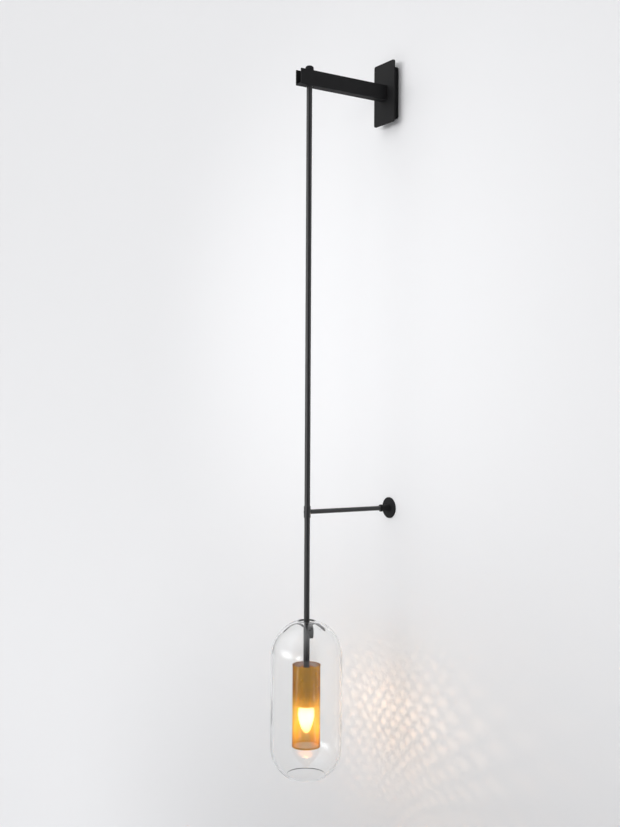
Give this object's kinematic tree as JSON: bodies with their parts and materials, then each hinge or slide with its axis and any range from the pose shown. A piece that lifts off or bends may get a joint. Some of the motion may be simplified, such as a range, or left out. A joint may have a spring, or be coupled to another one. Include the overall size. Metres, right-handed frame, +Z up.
{
  "type": "hanging pendant wall sconce",
  "caption": "Wall light: a plate and channel arm hang a long thin rod, steadied by a strut, with a clear glass capsule round a gilt mesh tube and a lamp at its foot.",
  "frame": {"origin": "middle of the wall bracket's back face, on the wall, at the height of the arm's middle", "axes": "+Z up, +Y into the wall, so the light stands out towards -Y, and +X to the right as seen facing the wall"},
  "size_m": [0.15, 0.291, 1.5335],
  "materials": {
    "black_coat": "satin black powder coat",
    "black_screw": "blackened steel screw",
    "black_spring": "black sprung steel",
    "zinc_steel": "zinc plated",
    "pale_plastic": "moulded",
    "dark_plastic": "moulded",
    "soft_rubber": "matt",
    "clear_glass": "clear blown",
    "gilt_metal": "satin gilt",
    "gilt_mesh": "pierced and gilt",
    "lamp_envelope": "frosted, lit",
    "lamp_filament": "light source",
    "cap_metal": "nickel plated"
  },
  "bodies": {
    "wall_side": {"wall_bracket": "zinc_steel", "canopy_box": "black_coat", "face_plate": "black_coat", "canopy_screws": "black_screw", "terminal_block": "pale_plastic", "earth_screw": "zinc_steel", "cable_grommet": "soft_rubber", "arm_channel": "black_coat", "arm_block": "black_coat", "arm_screws": "zinc_steel", "rod_bush": "dark_plastic"},
    "rod": {"upper_rod": "black_coat", "rod_grommet": "soft_rubber", "lower_rod": "black_coat", "rod_joiner": "zinc_steel", "spacer_sleeve": "black_coat", "lampholder_cup": "gilt_metal", "lampholder_core": "dark_plastic", "lamp_contact": "cap_metal", "holder_nipple": "zinc_steel", "holder_nut": "zinc_steel", "shade_ring": "gilt_metal", "mesh_carrier": "gilt_metal", "mesh_tube": "gilt_mesh", "mesh_top_rim": "gilt_metal", "mesh_bottom_rim": "gilt_metal"},
    "knob": {"top_knob": "black_coat"},
    "strut": {"rod_sleeve": "black_coat", "sleeve_screw": "black_screw", "strut_tube": "black_coat", "flange_boss": "black_coat", "flange_disc": "black_coat"},
    "strut_nut": {"lock_ring": "black_coat"},
    "leaf_spider": {"spider": "black_spring", "leaf_pads": "soft_rubber"},
    "glass": {"glass_shade": "clear_glass"},
    "lamp": {"lamp_glass": "lamp_envelope", "lamp_cap": "cap_metal", "lamp_stem": "lamp_filament"}
  },
  "joints": [
    {"name": "rod_turn", "type": "hinge", "parent": "wall_side", "child": "rod", "pos_m": [0, -0.216, 0], "axis": [0, 0, 1], "range_deg": [-170, 170]},
    {"name": "knob_turn", "type": "hinge", "parent": "rod", "child": "knob", "pos_m": [0, -0.216, 0.02], "axis": [0, 0, 1], "continuous": true},
    {"name": "strut_height", "type": "slide", "parent": "wall_side", "child": "strut", "axis": [0, 0, 1], "range_m": [-0.05, 0.05]},
    {"name": "lock_ring_turn", "type": "hinge", "parent": "strut", "child": "strut_nut", "pos_m": [0, -0.02, -0.911], "axis": [0, 1, 0], "continuous": true},
    {"name": "spider_lift", "type": "slide", "parent": "rod", "child": "leaf_spider", "axis": [0, 0, 1], "range_m": [0, 0.03]},
    {"name": "glass_lift", "type": "slide", "parent": "leaf_spider", "child": "glass", "axis": [0, 0, 1], "range_m": [0, 0.12]},
    {"name": "lamp_turn", "type": "hinge", "parent": "rod", "child": "lamp", "pos_m": [0, -0.216, -1.3], "axis": [0, 0, 1], "continuous": true}
  ]
}
